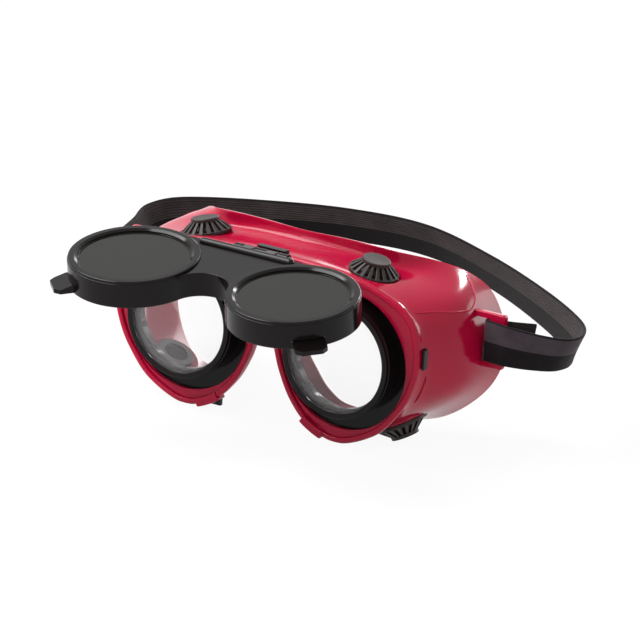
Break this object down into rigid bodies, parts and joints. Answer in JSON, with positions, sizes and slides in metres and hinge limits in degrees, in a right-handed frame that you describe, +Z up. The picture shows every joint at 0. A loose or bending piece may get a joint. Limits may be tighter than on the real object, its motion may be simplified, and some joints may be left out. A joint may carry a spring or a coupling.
{
  "type": "flip-up welding goggles",
  "caption": "Soft-bodied welding goggles with round clear lenses, a hinged flip-up frame of dark round filters, slotted vents and an elastic headband.",
  "frame": {"origin": "bottom centre of the whole object's box, in the plane of the two flats under the rim", "axes": "+X to the right as seen from the front, +Y to the back of the head, +Z up, with the clear lenses vertical and facing -Y"},
  "size_m": [0.2478, 0.2196, 0.0855],
  "materials": {
    "crimson_vinyl": "glossy soft moulded vinyl",
    "black_plastic": "satin moulded plastic",
    "vent_plastic": "matt moulded plastic",
    "gasket_rubber": "matt rubber",
    "steel": "bright drawn steel",
    "clear_glass": "clear polished",
    "filter_glass": "dark green polished",
    "webbing": "woven elastic webbing"
  },
  "bodies": {
    "goggles": {"clear_lens_left": "clear_glass", "clear_lens_right": "clear_glass", "goggle_body": "crimson_vinyl", "headband": "webbing", "hinge_pin": "steel", "hinge_washer_left": "steel", "hinge_washer_right": "steel", "lens_frame": "black_plastic", "lens_gasket_left": "gasket_rubber", "lens_gasket_right": "gasket_rubber", "lens_ring_left": "black_plastic", "lens_ring_right": "black_plastic", "vent_collar_lower_left": "vent_plastic", "vent_collar_lower_right": "vent_plastic", "vent_collar_upper_left": "vent_plastic", "vent_collar_upper_right": "vent_plastic", "vent_cowl_lower_left": "vent_plastic", "vent_cowl_lower_right": "vent_plastic", "vent_cowl_upper_left": "vent_plastic", "vent_cowl_upper_right": "vent_plastic"},
    "flip_front": {"filter_lens_left": "filter_glass", "filter_lens_right": "filter_glass", "filter_ring_left": "black_plastic", "filter_ring_right": "black_plastic", "flip_frame": "black_plastic"}
  },
  "joints": [
    {"name": "front_flip", "type": "hinge", "parent": "goggles", "child": "flip_front", "pos_m": [-0.00179, -0.04118, 0.0792], "axis": [1, 0, 0], "range_deg": [-10, 80.8]}
  ]
}
